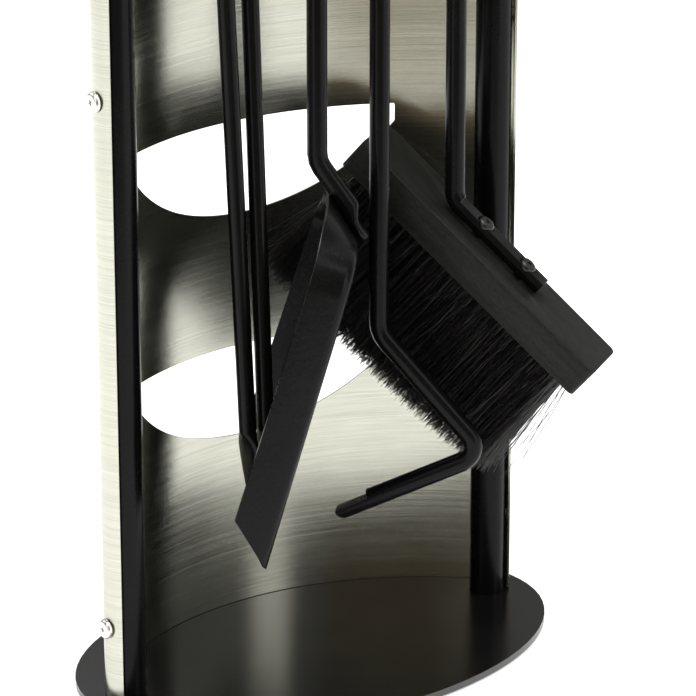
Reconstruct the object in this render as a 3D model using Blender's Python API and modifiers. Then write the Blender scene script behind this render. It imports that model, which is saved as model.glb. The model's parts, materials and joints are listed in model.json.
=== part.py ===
"""Fireplace tool set: an oval foot plate, two tube posts, a bowed stainless sheet behind them and
a slotted plate on top that four tools hang from: tongs, shovel, poker and brush.

Frame: metres, +Z up, origin at the middle of the foot plate's underside, +X along the line of
the two posts, +Y towards the sheet. The front is -Y.
"""

import math

import bmesh
import bpy
from mathutils import Matrix, Vector

MM = 0.001
GAP = 0.3 * MM

# Foot plate and the thin pad that is glued under it
BASE_LENGTH, BASE_DEPTH, BASE_THICK = 248 * MM, 164 * MM, 3.3 * MM
PAD_INSET, PAD_THICK = 3 * MM, 0.7 * MM
BASE_BOTTOM = PAD_THICK + GAP
BASE_TOP = BASE_BOTTOM + BASE_THICK

# Posts
POST_X, POST_Y, POST_RADIUS, POST_WALL = 104.2 * MM, 0.9 * MM, 8.5 * MM, 1.5 * MM
POST_PLUG, POST_TOP = 12 * MM, 580 * MM
M6_RADIUS, M6_HEAD_RADIUS = 2.9 * MM, 5.5 * MM

# Bowed sheet: one arc between the posts, then a tight wrap round the outer side of each post
SHEET_THICK, SHEET_TOP = 1 * MM, 578 * MM
WRAP_CLEARANCE = 1.5 * MM
WRAP_RADIUS = POST_RADIUS + WRAP_CLEARANCE + SHEET_THICK / 2
BOW_RADIUS = 149 * MM
BOW_CENTRE_Y = POST_Y - math.sqrt((BOW_RADIUS - WRAP_RADIUS) ** 2 - POST_X**2)
WRAP_START = math.atan2(POST_X, POST_Y - BOW_CENTRE_Y)
WRAP_END = math.radians(135)
BOW_STEPS, WRAP_STEPS = 26, 10

# Bowl-shaped windows in the sheet, measured along the bow
WINDOW_HALF, WINDOW_DEPTH, WINDOW_PITCH = 78 * MM, 45.5 * MM, 111.5 * MM
WINDOW_TOPS = [137 * MM + row * WINDOW_PITCH for row in range(4)]
WINDOW_BOTTOM_RADIUS, WINDOW_CORNER = 101 * MM, 2.5 * MM
WINDOW_COLUMNS, CORNER_COLUMNS = 20, 4

# Screws that hold the sheet to the posts: heights, and each side's turn from +Y round its post
SHEET_SCREW_Z = [39.3 * MM, 290.4 * MM, 541.5 * MM]
SHEET_SCREW_TURN = {"left": -math.radians(90), "right": math.radians(63)}
M4_RADIUS, M4_HEAD_RADIUS, M4_HEAD_HIGH, M4_LENGTH = 2 * MM, 4.75 * MM, 2.3 * MM, 8 * MM

# Slotted plate that the tools hang from
HOLDER_THICK, HOLDER_HALF, HOLDER_FRONT, HOLDER_BACK = 4 * MM, 122 * MM, -44 * MM, 16 * MM
HOLDER_CORNER, SLOT_RADIUS = 12 * MM, 5.3 * MM
HOLDER_BOTTOM = POST_TOP + GAP
HOLDER_TOP = HOLDER_BOTTOM + HOLDER_THICK

# Tools: where each rod stands in the row, and how far each tool is turned about its rod
ROW_Y = -29 * MM
TOOL_X = {"tongs": -59 * MM, "shovel": -17.9 * MM, "poker": 16.5 * MM, "brush": 59.5 * MM}
TOOL_YAW = {"tongs": 0.0, "shovel": -35.6, "poker": -42.0, "brush": -57.0}
ROD_RADIUS, ARM_RADIUS = 4.65 * MM, 4 * MM
COLLAR_RADIUS, COLLAR_HIGH = 9.5 * MM, 5 * MM
GRIP_LENGTH, GRIP_RADIUS, GRIP_SWELL = 106 * MM, 8.5 * MM, 1.3 * MM
GRIP_BORE = 51 * MM
CAP_HIGH = 9 * MM
COLLAR_BOTTOM = HOLDER_TOP + GAP
GRIP_BOTTOM = COLLAR_BOTTOM + COLLAR_HIGH + GAP
ROD_TOP = GRIP_BOTTOM + GRIP_BORE - 1 * MM
CAP_BOTTOM = GRIP_BOTTOM + GRIP_LENGTH + GAP

# Poker: corners of its rod in its own plane, as (sideways, height), and the bend at each
POKER_CORNERS = [(0, 165 * MM), (49.5 * MM, 107.5 * MM)]
POKER_TIP = (-19.5 * MM, 75.1 * MM)
POKER_BENDS = [14 * MM, 9 * MM]
POKER_FLAT_LENGTH, POKER_FLAT_THICK = 17 * MM, 6 * MM

# Shovel: the pan in its own frame (along, across, deep) from the tip of its floor, and the rod's
# flattened end, which lies along the outside of the sloping rear wall
PAN_TIP = (-23 * MM, 75.5 * MM)
PAN_LEAN = math.radians(16.4)
PAN_SHEET, PAN_BEND = 1.4 * MM, 5 * MM
PAN_FLOOR_LENGTH, PAN_FRONT_HALF, PAN_REAR_HALF, PAN_CORNER = 145.6 * MM, 47 * MM, 37 * MM, 16 * MM
PAN_SIDE_DEEP, PAN_REAR_DEEP = 20.5 * MM, 18.6 * MM
PAN_SIDE_ANGLE, PAN_REAR_ANGLE = math.radians(82), math.radians(51)
SHOVEL_BEND, SHOVEL_END_PAST_FOLD = 12 * MM, 1 * MM
SHOVEL_FLAT_THICK, SHOVEL_FLAT_WIDE, SHOVEL_FLAT_LENGTH = 4.4 * MM, 14 * MM, 16 * MM

# Brush: the block lies along a line that falls at this angle from the rod
BLOCK_FALL = math.radians(40.83)
BLOCK_LENGTH, BLOCK_WIDE, BLOCK_THICK, BLOCK_CORNER = 150 * MM, 33 * MM, 16 * MM, 3 * MM
BLOCK_TOP_CENTRE = (17.25 * MM, 199.8 * MM)
BRUSH_ROD_RISE = ROD_RADIUS + GAP
BRUSH_ROD_END, BRUSH_FLAT_START, BRUSH_FLAT_RISE = 30 * MM, -24 * MM, 7.6 * MM
BRUSH_BEND = 9 * MM
BRUSH_SCREW_ALONG = [-8.6 * MM, 18.5 * MM]
BRUSH_SCREW_SEAT, BRUSH_SCREW_HIGH, BRUSH_SCREW_HEAD = 6.4 * MM, 2.4 * MM, 4.4 * MM
BRISTLE_LONG, BRISTLE_HALF_WIDE, BRISTLE_INSET, BRISTLE_SPREAD = 69 * MM, 12 * MM, 7 * MM, 2 * MM

# Tongs: a fixed arm in line with the rod and a second arm pinned to a lug beside it
ARM_SLOPE, FIXED_ARM_TOP = 0.0321, 510 * MM
SWING_SLOPE, PIVOT = 0.046, (-11.4 * MM, 430 * MM)
LUG_THICK, LUG_HALF_HIGH, ARM_FLAT_THICK = 3 * MM, 7 * MM, 3 * MM
PIN_RADIUS, PIN_HEAD_RADIUS, PIN_HEAD_HIGH = 2 * MM, 3.6 * MM, 1.4 * MM
JAW_TOP, JAW_BOTTOM = 133 * MM, 93 * MM
JAW_WIDE, JAW_THICK, JAW_CLOSE = 18 * MM, 3 * MM, 2.6 * MM
ARM_JOG_TOP, ARM_JOG_BOTTOM = 413 * MM, 395 * MM


def clear_scene():
    for old in list(bpy.data.objects):
        bpy.data.objects.remove(old, do_unlink=True)


def new_collection(name):
    collection = bpy.data.collections.new(name)
    bpy.context.scene.collection.children.link(collection)
    return collection


def material(name, colour, roughness, metallic):
    made = bpy.data.materials.new(name)
    made.use_nodes = True
    shader = made.node_tree.nodes["Principled BSDF"]
    shader.inputs["Base Color"].default_value = (*colour, 1.0)
    shader.inputs["Roughness"].default_value = roughness
    shader.inputs["Metallic"].default_value = metallic
    return made


def place(obj, parent=None, location=(0, 0, 0), rotation=(0, 0, 0)):
    obj.parent = parent
    obj.location = location
    obj.rotation_euler = rotation
    return obj


def part(name, data, finish, smooth_angle=35):
    """A visible sub-part: a mesh or curve with its own material."""
    obj = bpy.data.objects.new(name, data)
    PARTS.objects.link(obj)
    data.materials.clear()
    data.materials.append(finish)
    if isinstance(data, bpy.types.Mesh):
        data.shade_smooth()
        data.set_sharp_from_angle(angle=math.radians(smooth_angle))
    return obj


def cutter(name, data):
    obj = bpy.data.objects.new(name, data)
    CUTTERS.objects.link(obj)
    obj.hide_render = True
    obj.display_type = "WIRE"
    return obj


def cut(obj, *tools):
    for tool in tools:
        step = obj.modifiers.new("cut_" + tool.name, "BOOLEAN")
        step.operation = "DIFFERENCE"
        step.solver = "EXACT"
        step.object = tool


def bevel(obj, width, segments=2, angle=40):
    step = obj.modifiers.new("edge", "BEVEL")
    step.width = width
    step.segments = segments
    step.limit_method = "ANGLE"
    step.angle_limit = math.radians(angle)
    return step


def mesh_from(name, build):
    """A mesh filled in by build, a function that is given an empty bmesh."""
    shape = bmesh.new()
    build(shape)
    bmesh.ops.recalc_face_normals(shape, faces=shape.faces)
    mesh = bpy.data.meshes.new(name)
    shape.to_mesh(mesh)
    shape.free()
    return mesh


def profile_mesh(name, profile, closed=False):
    """A Screw modifier's input: the profile's points are (radius, height), top to bottom outside."""
    points = [(radius, 0, height) for radius, height in profile]
    edges = [(i, i + 1) for i in range(len(points) - 1)]
    if closed:
        edges.append((len(points) - 1, 0))
    mesh = bpy.data.meshes.new(name)
    mesh.from_pydata(points, edges, [])
    return mesh


def spin(obj, steps):
    step = obj.modifiers.new("turn", "SCREW")
    step.steps = step.render_steps = steps
    step.use_merge_vertices = True
    step.merge_threshold = 0.00001
    step.use_smooth_shade = True


def turned_part(name, profile, finish, closed=False, steps=32):
    obj = part(name, profile_mesh(name, profile, closed), finish)
    spin(obj, steps)
    return obj


def turned_cutter(name, profile, steps=24):
    obj = cutter(name, profile_mesh(name, profile))
    spin(obj, steps)
    return obj


def rounded_path(corners, bends, turn_step=math.radians(14)):
    """Straight runs through the corners, with an arc of the given radius at each inner one."""
    points = [Vector(corners[0])]
    for before, corner, after, radius in zip(corners, corners[1:], corners[2:], bends):
        corner = Vector(corner)
        way_in = (corner - Vector(before)).normalized()
        way_out = (Vector(after) - corner).normalized()
        turn = way_in.angle(way_out)
        centre = corner + (way_out - way_in).normalized() * radius / math.cos(turn / 2)
        first = corner - way_in * radius * math.tan(turn / 2) - centre
        steps = max(2, round(turn / turn_step))
        axis = way_in.cross(way_out)
        for i in range(steps + 1):
            points.append(centre + Matrix.Rotation(turn * i / steps, 3, axis) @ first)
    points.append(Vector(corners[-1]))
    return points


def with_points_near_end(points, length, count):
    """The path with its last run divided, so that the end of a rod can be reshaped."""
    last, before = points[-1], points[-2]
    back = (before - last).normalized() * length
    return points[:-1] + [last + back * (1 - i / count) for i in range(count + 1)]


def rod_mesh(name, points, radius, bevel_resolution=6):
    """A round rod along the points, as a closed mesh."""
    curve = bpy.data.curves.new(name + "_line", "CURVE")
    curve.dimensions = "3D"
    curve.bevel_depth = radius
    curve.bevel_resolution = bevel_resolution
    curve.use_fill_caps = True
    line = curve.splines.new("POLY")
    line.points.add(len(points) - 1)
    for point, co in zip(line.points, points):
        point.co = (*co, 1)
    guide = bpy.data.objects.new(name + "_line", curve)
    CUTTERS.objects.link(guide)
    bpy.context.view_layer.update()
    evaluated = guide.evaluated_get(bpy.context.evaluated_depsgraph_get())
    mesh = bpy.data.meshes.new_from_object(evaluated)
    bpy.data.objects.remove(guide)
    bpy.data.curves.remove(curve)
    shape = bmesh.new()
    shape.from_mesh(mesh)
    bmesh.ops.remove_doubles(shape, verts=shape.verts, dist=0.00001)
    bmesh.ops.recalc_face_normals(shape, faces=shape.faces)
    shape.to_mesh(mesh)
    shape.free()
    mesh.name = name
    return mesh


def ease(value):
    value = min(1.0, max(0.0, value))
    return value * value * (3 - 2 * value)


def flatten_along(mesh, start, way, wide, rule):
    """Squashes a rod beyond start. rule(distance) gives its half thickness, half width and shift."""
    start, way, wide = Vector(start), Vector(way).normalized(), Vector(wide).normalized()
    thin = way.cross(wide)
    for vertex in mesh.vertices:
        offset = vertex.co - start
        distance = offset.dot(way)
        if distance < 0:
            continue
        thin_scale, wide_scale, shift = rule(distance)
        vertex.co = (
            start
            + way * distance
            + wide * (offset.dot(wide) * wide_scale)
            + thin * (offset.dot(thin) * thin_scale + shift)
        )


def box_mesh(name, low, high):
    def build(shape):
        size = Vector(high) - Vector(low)
        middle = (Vector(high) + Vector(low)) / 2
        bmesh.ops.create_cube(shape, size=1, matrix=Matrix.Translation(middle) @ Matrix.Diagonal((*size, 1)))

    return mesh_from(name, build)


def disc_mesh(name, radius, low, high, segments=32):
    def build(shape):
        bmesh.ops.create_cone(
            shape,
            cap_ends=True,
            segments=segments,
            radius1=radius,
            radius2=radius,
            depth=high - low,
            matrix=Matrix.Translation((0, 0, (low + high) / 2)),
        )

    return mesh_from(name, build)


def arc(centre, radius, first, last, steps):
    """Points round a centre, with angles in degrees."""
    for i in range(steps + 1):
        angle = math.radians(first + (last - first) * i / steps)
        yield centre[0] + radius * math.cos(angle), centre[1] + radius * math.sin(angle)


def base_plate():
    mesh = disc_mesh("base_plate", 0.5, BASE_BOTTOM, BASE_TOP, 72)
    mesh.transform(Matrix.Diagonal((BASE_LENGTH, BASE_DEPTH, 1, 1)))
    plate = part("base_plate", mesh, POWDER_COAT)
    edge = M6_HEAD_RADIUS + GAP
    hole = M6_RADIUS + GAP
    sink_top = BASE_BOTTOM + edge - hole
    for side, sign in SIDES:
        sink = turned_cutter(
            "sink_" + side,
            [(0, BASE_TOP + MM), (hole, BASE_TOP + MM), (hole, sink_top), (edge, BASE_BOTTOM)]
            + [(edge, BASE_BOTTOM - MM), (0, BASE_BOTTOM - MM)],
        )
        sink.location = (sign * POST_X, POST_Y, 0)
        cut(plate, sink)
    bevel(plate, 0.5 * MM)


def base_pad():
    mesh = disc_mesh("base_pad", 0.5, 0, PAD_THICK, 72)
    mesh.transform(Matrix.Diagonal((BASE_LENGTH - 2 * PAD_INSET, BASE_DEPTH - 2 * PAD_INSET, 1, 1)))
    part("base_pad", mesh, PAD_RUBBER)


def posts():
    bottom, top = BASE_TOP + GAP, POST_TOP
    bore, hollow = M6_RADIUS + GAP, POST_RADIUS - POST_WALL
    profile = [(POST_RADIUS, top), (POST_RADIUS, bottom), (bore, bottom), (bore, bottom + POST_PLUG)]
    profile += [(hollow, bottom + POST_PLUG), (hollow, top - POST_PLUG), (bore, top - POST_PLUG), (bore, top)]
    for side, sign in SIDES:
        post = turned_part("post_" + side, profile, POWDER_COAT, closed=True)
        place(post, location=(sign * POST_X, POST_Y, 0))
        cut(post, *SCREW_HOLES[side])


def post_screws():
    """Countersunk screws up through the foot plate into each post."""
    low = BASE_BOTTOM + 0.1 * MM
    neck = low + M6_HEAD_RADIUS - M6_RADIUS
    tip = low + 13 * MM
    profile = [(0, tip), (M6_RADIUS, tip), (M6_RADIUS, neck), (M6_HEAD_RADIUS, low), (0, low)]
    for side, sign in SIDES:
        place(turned_part("post_screw_" + side, profile, ZINC, steps=24), location=(sign * POST_X, POST_Y, 0))


def sheet_plan():
    """The sheet's middle line seen from above, from one wrap's free edge to the other's."""
    half = []
    for i in range(BOW_STEPS + 1):
        angle = WRAP_START * i / BOW_STEPS
        half.append((BOW_RADIUS * math.sin(angle), BOW_CENTRE_Y + BOW_RADIUS * math.cos(angle)))
    for i in range(1, WRAP_STEPS + 1):
        angle = WRAP_START + (WRAP_END - WRAP_START) * i / WRAP_STEPS
        half.append((POST_X + WRAP_RADIUS * math.sin(angle), POST_Y + WRAP_RADIUS * math.cos(angle)))
    return [(-x, y) for x, y in reversed(half[1:])] + half


def window_cutter(number, top):
    """A block with the window's outline, bent to the bow. Its columns run from lip to bowl."""
    half, corner = WINDOW_HALF, WINDOW_CORNER
    inner = half - corner
    alongs = [-half + corner * (1 - math.cos(math.pi / 2 * i / CORNER_COLUMNS)) for i in range(CORNER_COLUMNS)]
    alongs += [-inner + 2 * inner * i / WINDOW_COLUMNS for i in range(WINDOW_COLUMNS + 1)]
    alongs += [-along for along in reversed(alongs[:CORNER_COLUMNS])]
    low_point = top - WINDOW_DEPTH
    mesh = bpy.data.meshes.new(f"window_{number}")
    points, faces = [], []
    for along in alongs:
        beyond = max(0.0, abs(along) - inner)
        lip = top - corner + math.sqrt(max(0.0, corner**2 - beyond**2))
        bowl = low_point + WINDOW_BOTTOM_RADIUS - math.sqrt(WINDOW_BOTTOM_RADIUS**2 - along**2)
        angle = along / BOW_RADIUS
        for radius in (BOW_RADIUS - 6 * MM, BOW_RADIUS + 6 * MM):
            for height in (lip, bowl):
                points.append((radius * math.sin(angle), BOW_CENTRE_Y + radius * math.cos(angle), height))
    rings = len(alongs)
    for i in range(rings - 1):
        a, b = 4 * i, 4 * (i + 1)
        for one, two in ((0, 1), (1, 3), (3, 2), (2, 0)):
            faces.append((a + one, a + two, b + two, b + one))
    last = 4 * (rings - 1)
    faces += [(0, 2, 3, 1), (last, last + 1, last + 3, last + 2)]
    mesh.from_pydata(points, [], faces)
    shape = bmesh.new()
    shape.from_mesh(mesh)
    bmesh.ops.recalc_face_normals(shape, faces=shape.faces)
    shape.to_mesh(mesh)
    shape.free()
    return cutter(f"window_{number}", mesh)


def back_sheet():
    def build(shape):
        low = [shape.verts.new((x, y, BASE_TOP + GAP)) for x, y in sheet_plan()]
        high = [shape.verts.new((x, y, SHEET_TOP)) for x, y in sheet_plan()]
        for i in range(len(low) - 1):
            shape.faces.new((low[i], low[i + 1], high[i + 1], high[i]))

    sheet = part("back_sheet", mesh_from("back_sheet", build), STAINLESS)
    shell = sheet.modifiers.new("thickness", "SOLIDIFY")
    shell.thickness = SHEET_THICK
    shell.offset = 0
    shell.use_even_offset = True
    cut(sheet, *[window_cutter(number, top) for number, top in enumerate(WINDOW_TOPS, 1)])
    cut(sheet, *SCREW_HOLES["left"], *SCREW_HOLES["right"])


def screw_seat(side, sign, out, height):
    """Where a sheet screw's point at this distance from the post's axis is, and its turn."""
    turn = SHEET_SCREW_TURN[side]
    where = (sign * POST_X + out * math.sin(turn), POST_Y + out * math.cos(turn), height)
    return where, (0, math.pi / 2, math.pi / 2 - turn)


def screw_holes():
    holes = {}
    mesh = disc_mesh("screw_hole", M4_RADIUS + GAP, -6 * MM, 15 * MM, 20)
    for side, sign in SIDES:
        holes[side] = []
        for number, height in enumerate(SHEET_SCREW_Z, 1):
            where, turn = screw_seat(side, sign, 2 * MM, height)
            hole = place(cutter(f"screw_hole_{side}_{number}", mesh), None, where, turn)
            holes[side].append(hole)
    return holes


def sheet_screws():
    """Pan-head screws through the sheet's wraps into the posts, heads outward."""
    high, rim = M4_HEAD_HIGH, M4_HEAD_RADIUS
    profile = [(0, high)]
    profile += [(x, y) for x, y in arc((rim - 1.6 * MM, high - 1.6 * MM), 1.6 * MM, 90, 0, 4)]
    profile += [(rim, 0), (M4_RADIUS, 0), (M4_RADIUS, -M4_LENGTH), (0, -M4_LENGTH)]
    seat = WRAP_RADIUS + SHEET_THICK / 2 + GAP
    for side, sign in SIDES:
        for number, height in enumerate(SHEET_SCREW_Z, 1):
            where, turn = screw_seat(side, sign, seat, height)
            place(turned_part(f"sheet_screw_{side}_{number}", profile, ZINC, steps=24), None, where, turn)


def holder_outline():
    """Round-cornered plate with a U slot in its front edge for each tool."""
    corner, half, front, back = HOLDER_CORNER, HOLDER_HALF, HOLDER_FRONT, HOLDER_BACK
    points = list(arc((half - corner, back - corner), corner, 0, 90, 6))
    points += arc((corner - half, back - corner), corner, 90, 180, 6)
    points += arc((corner - half, front + corner), corner, 180, 270, 6)
    for x in sorted(TOOL_X.values()):
        points.append((x - SLOT_RADIUS, front))
        points += arc((x, ROW_Y), SLOT_RADIUS, 180, 0, 10)
        points.append((x + SLOT_RADIUS, front))
    points += arc((half - corner, front + corner), corner, 270, 360, 6)
    return points


def holder_plate():
    curve = bpy.data.curves.new("holder_plate", "CURVE")
    curve.dimensions = "2D"
    curve.fill_mode = "BOTH"
    curve.extrude = HOLDER_THICK / 2
    outline = holder_outline()
    line = curve.splines.new("POLY")
    line.points.add(len(outline) - 1)
    for point, (x, y) in zip(line.points, outline):
        point.co = (x, y, 0, 1)
    line.use_cyclic_u = True
    guide = bpy.data.objects.new("holder_line", curve)
    CUTTERS.objects.link(guide)
    bpy.context.view_layer.update()
    mesh = bpy.data.meshes.new_from_object(guide.evaluated_get(bpy.context.evaluated_depsgraph_get()))
    bpy.data.objects.remove(guide)
    shape = bmesh.new()
    shape.from_mesh(mesh)
    bmesh.ops.remove_doubles(shape, verts=shape.verts, dist=0.00001)
    bmesh.ops.dissolve_limit(shape, angle_limit=0.01, verts=shape.verts, edges=shape.edges)
    shape.to_mesh(mesh)
    shape.free()
    mesh.name = "holder_plate"
    plate = part("holder_plate", mesh, POWDER_COAT)
    plate.location.z = HOLDER_BOTTOM + HOLDER_THICK / 2
    for side, sign in SIDES:
        hole = cutter("holder_hole_" + side, disc_mesh("holder_hole", M6_RADIUS + GAP, -8 * MM, 8 * MM, 24))
        hole.location = (sign * POST_X, POST_Y, plate.location.z)
        cut(plate, hole)
    bevel(plate, 0.4 * MM)


def holder_screws():
    """Button-head screws down through the slotted plate into each post."""
    seat, high, rim = HOLDER_TOP + GAP, 3 * MM, M6_HEAD_RADIUS
    profile = [(0, seat + high)]
    profile += arc((rim - 2.4 * MM, seat + high - 2.4 * MM), 2.4 * MM, 90, 0, 5)
    profile += [(rim, seat), (M6_RADIUS, seat), (M6_RADIUS, seat - 15 * MM), (0, seat - 15 * MM)]
    for side, sign in SIDES:
        place(turned_part("holder_screw_" + side, profile, ZINC, steps=24), location=(sign * POST_X, POST_Y, 0))


def tool_frame(tool):
    """An empty on the tool's rod. Its X is the tool's sideways direction."""
    frame = bpy.data.objects.new(tool + "_frame", None)
    PARTS.objects.link(frame)
    turn = (0, 0, math.radians(TOOL_YAW[tool]))
    return place(frame, location=(TOOL_X[tool], ROW_Y, 0), rotation=turn)


def handle(tool, frame, rod_radius):
    """The collar that rests on the slotted plate, the grip above it and its end cap."""
    bore, low, high = rod_radius + GAP, COLLAR_BOTTOM, COLLAR_BOTTOM + COLLAR_HIGH
    lip = 0.8 * MM
    rim = COLLAR_RADIUS
    profile = [(bore, high), (rim - lip, high), (rim, high - lip), (rim, low + lip), (rim - lip, low), (bore, low)]
    place(turned_part(tool + "_collar", profile, POWDER_COAT, closed=True), frame)

    low, high, steps = GRIP_BOTTOM, GRIP_BOTTOM + GRIP_LENGTH, 12
    profile = [(0, high)]
    for i in range(steps + 1):
        share = i / steps
        profile.append((GRIP_RADIUS + GRIP_SWELL * math.sin(math.pi * share), high - GRIP_LENGTH * share))
    profile += [(bore, low), (bore, low + GRIP_BORE), (0, low + GRIP_BORE)]
    place(turned_part(tool + "_grip", profile, STAINLESS, steps=24), frame)

    low = CAP_BOTTOM
    profile = [(0, low + CAP_HIGH)]
    profile += [
        (GRIP_RADIUS * math.sin(angle), low + CAP_HIGH * math.cos(angle))
        for angle in (math.pi / 12 * i for i in range(1, 7))
    ]
    profile += [(0, low)]
    place(turned_part(tool + "_cap", profile, POWDER_COAT), frame)


def poker():
    frame = tool_frame("poker")
    handle("poker", frame, ROD_RADIUS)
    corners = [(0, ROD_TOP), *POKER_CORNERS, POKER_TIP]
    points = rounded_path([(x, 0, z) for x, z in corners], POKER_BENDS)
    shaft = place(part("poker_shaft", rod_mesh("poker_shaft", points, ROD_RADIUS), SATIN_BLACK), frame)

    # The tip is milled to a flat on its upper side and ends in a slanted chisel edge.
    tip, corner = Vector((POKER_TIP[0], 0, POKER_TIP[1])), Vector((POKER_CORNERS[1][0], 0, POKER_CORNERS[1][1]))
    slope = -math.atan2(corner.z - tip.z, corner.x - tip.x)
    rise = POKER_FLAT_THICK - ROD_RADIUS
    flat = cutter("poker_flat", box_mesh("poker_flat", (-5 * MM, -8 * MM, rise), (POKER_FLAT_LENGTH, 8 * MM, 12 * MM)))
    place(flat, frame, tip, (0, slope, 0))
    chisel = cutter("poker_chisel", box_mesh("poker_chisel", (-12 * MM, -8 * MM, -12 * MM), (0, 8 * MM, 12 * MM)))
    place(chisel, frame, tip, (0, slope - math.radians(28), 0))
    cut(shaft, flat, chisel)


def pan_wall_angle(share):
    """Side walls stand steep and the rear wall slopes, with the corners between them."""
    middle = 1 - abs(2 * share - 1)
    return PAN_SIDE_ANGLE + (PAN_REAR_ANGLE - PAN_SIDE_ANGLE) * ease((middle - 0.76) / 0.16)


def pan_floor_outline():
    """The floor's side and rear edges, from the front of one side round to the front of the other."""
    taper = math.degrees(math.atan2(PAN_FRONT_HALF - PAN_REAR_HALF, PAN_FLOOR_LENGTH))
    corner, long = PAN_CORNER, PAN_FLOOR_LENGTH
    side = []
    centre = (long - corner, PAN_REAR_HALF - corner)
    for i in range(12):
        share = i / 12
        side.append((share * (long - corner), PAN_FRONT_HALF + share * (centre[1] + corner - PAN_FRONT_HALF)))
    side += arc(centre, corner, 90 - taper / 2, 0, 8)
    side += [(long, centre[1] * (1 - i / 3)) for i in range(1, 3)]
    return side + [(long, 0)] + [(x, -y) for x, y in reversed(side)]


def shovel_pan(frame):
    """A pressed tray: floor, bend and walls are rings pushed out from the floor's edge."""

    def build(shape):
        outline = [Vector(point) for point in pan_floor_outline()]
        count = len(outline)
        rings = [[] for _ in range(8)]
        for i, point in enumerate(outline):
            ahead, behind = outline[min(i + 1, count - 1)], outline[max(i - 1, 0)]
            run = (ahead - behind).normalized()
            outward = Vector((-run.y, run.x))
            share = i / (count - 1)
            angle = pan_wall_angle(share)
            rear = (PAN_SIDE_ANGLE - angle) / (PAN_SIDE_ANGLE - PAN_REAR_ANGLE)
            deep = PAN_SIDE_DEEP + (PAN_REAR_DEEP - PAN_SIDE_DEEP) * max(rear, point.x / PAN_FLOOR_LENGTH)
            for j, ring in enumerate(rings):
                if j < 5:
                    bent = angle * j / 4
                    out, up = PAN_BEND * math.sin(bent), PAN_BEND * (1 - math.cos(bent))
                else:
                    up0 = PAN_BEND * (1 - math.cos(angle))
                    up = up0 + (deep - up0) * (j - 4) / 3
                    out = PAN_BEND * math.sin(angle) + (up - up0) / math.tan(angle)
                place_at = point + outward * out
                slant = up * max(0.0, 1 - point.x / (0.4 * PAN_FLOOR_LENGTH))
                ring.append(shape.verts.new((place_at.x + slant, place_at.y, up)))
        for inner, outer in zip(rings, rings[1:]):
            for i in range(count - 1):
                shape.faces.new((inner[i], inner[i + 1], outer[i + 1], outer[i]))
        for i in range(count // 2):
            left, right = rings[0][i], rings[0][count - 1 - i]
            ahead, behind = rings[0][i + 1], rings[0][count - 2 - i]
            if ahead is behind:
                shape.faces.new((left, ahead, right))
            else:
                shape.faces.new((left, ahead, behind, right))

    mesh = mesh_from("shovel_pan", build)
    if mesh.polygons[0].normal.z > 0:
        mesh.flip_normals()
    pan = part("shovel_pan", mesh, SATIN_BLACK)
    shell = pan.modifiers.new("thickness", "SOLIDIFY")
    shell.thickness = PAN_SHEET
    shell.offset = -1
    shell.use_even_offset = True
    tip = (PAN_TIP[0], 0, PAN_TIP[1])
    place(pan, frame, tip, (0, PAN_LEAN - math.pi / 2, 0))


def shovel():
    frame = tool_frame("shovel")
    handle("shovel", frame, ROD_RADIUS)

    # In the tool's plane: up the pan's floor, into the pan, down its rear wall, and out of that wall.
    tip = Vector((PAN_TIP[0], 0, PAN_TIP[1]))
    up_floor = Vector((math.sin(PAN_LEAN), 0, math.cos(PAN_LEAN)))
    into_pan = Vector((-math.cos(PAN_LEAN), 0, math.sin(PAN_LEAN)))
    down_wall = -(up_floor * math.cos(PAN_REAR_ANGLE) + into_pan * math.sin(PAN_REAR_ANGLE))
    out_of_wall = up_floor * math.sin(PAN_REAR_ANGLE) - into_pan * math.cos(PAN_REAR_ANGLE)
    fold = tip + up_floor * (PAN_FLOOR_LENGTH + PAN_BEND * math.tan(PAN_REAR_ANGLE / 2))
    line = fold + out_of_wall * (ROD_RADIUS + GAP)
    corner = line - down_wall * (line.x / down_wall.x)
    end = line + down_wall * SHOVEL_END_PAST_FOLD

    points = rounded_path([(0, 0, ROD_TOP), corner, end], [SHOVEL_BEND])
    points = with_points_near_end(points, SHOVEL_FLAT_LENGTH, 7)
    mesh = rod_mesh("shovel_shaft", points, ROD_RADIUS)
    thin, wide = SHOVEL_FLAT_THICK / (2 * ROD_RADIUS), SHOVEL_FLAT_WIDE / (2 * ROD_RADIUS)
    drop = ROD_RADIUS - SHOVEL_FLAT_THICK / 2

    def rule(distance):
        share = ease(distance / (9 * MM))
        tail = ease((distance - 12 * MM) / (5 * MM))
        return 1 + (thin - 1) * share, (1 + (wide - 1) * share) * (1 - 0.35 * tail), -drop * share

    flatten_along(mesh, end - down_wall * SHOVEL_FLAT_LENGTH, down_wall, (0, 1, 0), rule)
    place(part("shovel_shaft", mesh, SATIN_BLACK), frame)
    shovel_pan(frame)


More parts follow.
